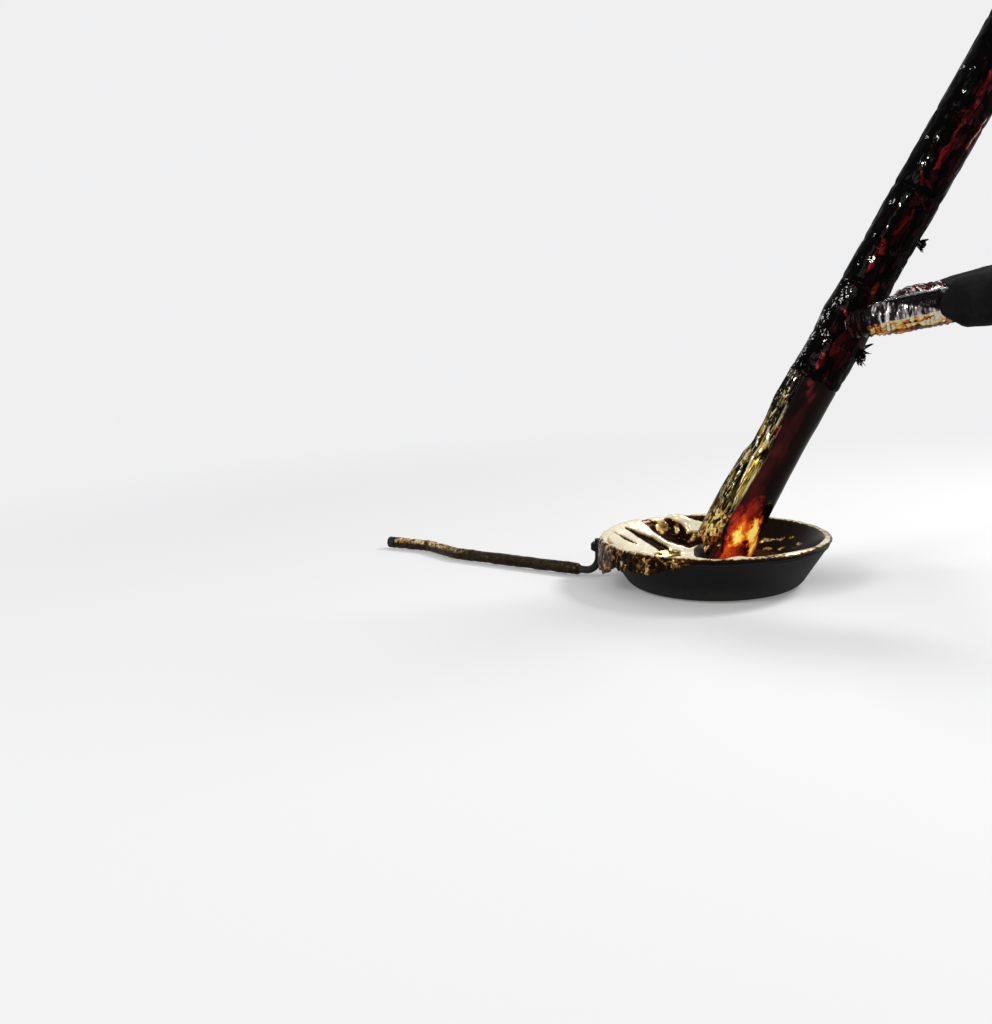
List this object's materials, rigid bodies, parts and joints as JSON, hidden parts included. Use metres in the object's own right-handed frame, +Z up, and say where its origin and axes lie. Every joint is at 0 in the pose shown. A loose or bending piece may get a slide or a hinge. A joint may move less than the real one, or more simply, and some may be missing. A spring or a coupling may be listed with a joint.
{
  "type": "spacecraft landing leg with footpad",
  "caption": "Leaning foil-wrapped landing leg on a dished footpad, with secondary struts, their deployment truss and a bent ground probe.",
  "frame": {"origin": "centre of the bore for the vehicle's upper pin, on the leg's middle plane", "axes": "+X inboard, towards the vehicle; +Y across the leg, along the upper pin; +Z up"},
  "size_m": [3.7425, 1.4748, 3.0507],
  "materials": {
    "alloy": "satin",
    "steel": "satin",
    "pad_skin": "satin, in shadow",
    "gold_foil": "crumpled metallised film",
    "dark_foil": "glossy dark film with gold-olive folds",
    "silver_foil": "crinkled metallised film",
    "black_blanket": "matt black blanket"
  },
  "bodies": {
    "leg": {"trunnion_block": "alloy", "cross_pin": "steel", "strut_fork": "alloy", "outer_cylinder": "alloy", "gland_ring": "steel", "inner_cylinder": "alloy", "strut_collar": "steel", "ankle_fitting": "steel", "strut_film": "dark_foil", "collar_foil": "dark_foil", "strut_foil": "dark_foil", "truss_front": "alloy", "truss_back": "alloy", "secondary_rod_left": "alloy", "secondary_rod_right": "alloy", "secondary_barrel_left": "alloy", "secondary_barrel_right": "alloy", "rod_foil_left": "silver_foil", "rod_foil_right": "silver_foil", "barrel_sleeve_left": "black_blanket", "barrel_sleeve_right": "black_blanket", "truss_corner_left": "alloy", "truss_corner_right": "alloy", "truss_lug_left": "alloy", "truss_lug_right": "alloy", "truss_side_left": "alloy", "truss_side_right": "alloy", "truss_brace_left": "alloy", "truss_brace_right": "alloy", "downlock_clamp_left": "steel", "downlock_clamp_right": "steel", "downlock_link_left": "steel", "downlock_link_right": "steel"},
    "ankle_race": {"pad_race": "steel"},
    "footpad": {"pad_dish": "pad_skin", "pad_rim": "pad_skin", "pad_hub": "alloy", "pad_cap": "alloy", "pad_foil": "gold_foil", "probe_bracket": "alloy", "probe_boom": "alloy", "probe_head": "alloy", "probe_foil": "gold_foil"}
  },
  "joints": [
    {"name": "ankle_pitch", "type": "hinge", "parent": "leg", "child": "ankle_race", "pos_m": [-1.59793, 0, -2.88275], "axis": [0, 1, 0], "range_deg": [-12, 12]},
    {"name": "ankle_roll", "type": "hinge", "parent": "ankle_race", "child": "footpad", "pos_m": [-1.59793, 0, -2.88275], "axis": [1, 0, 0], "range_deg": [-12, 12]}
  ]
}
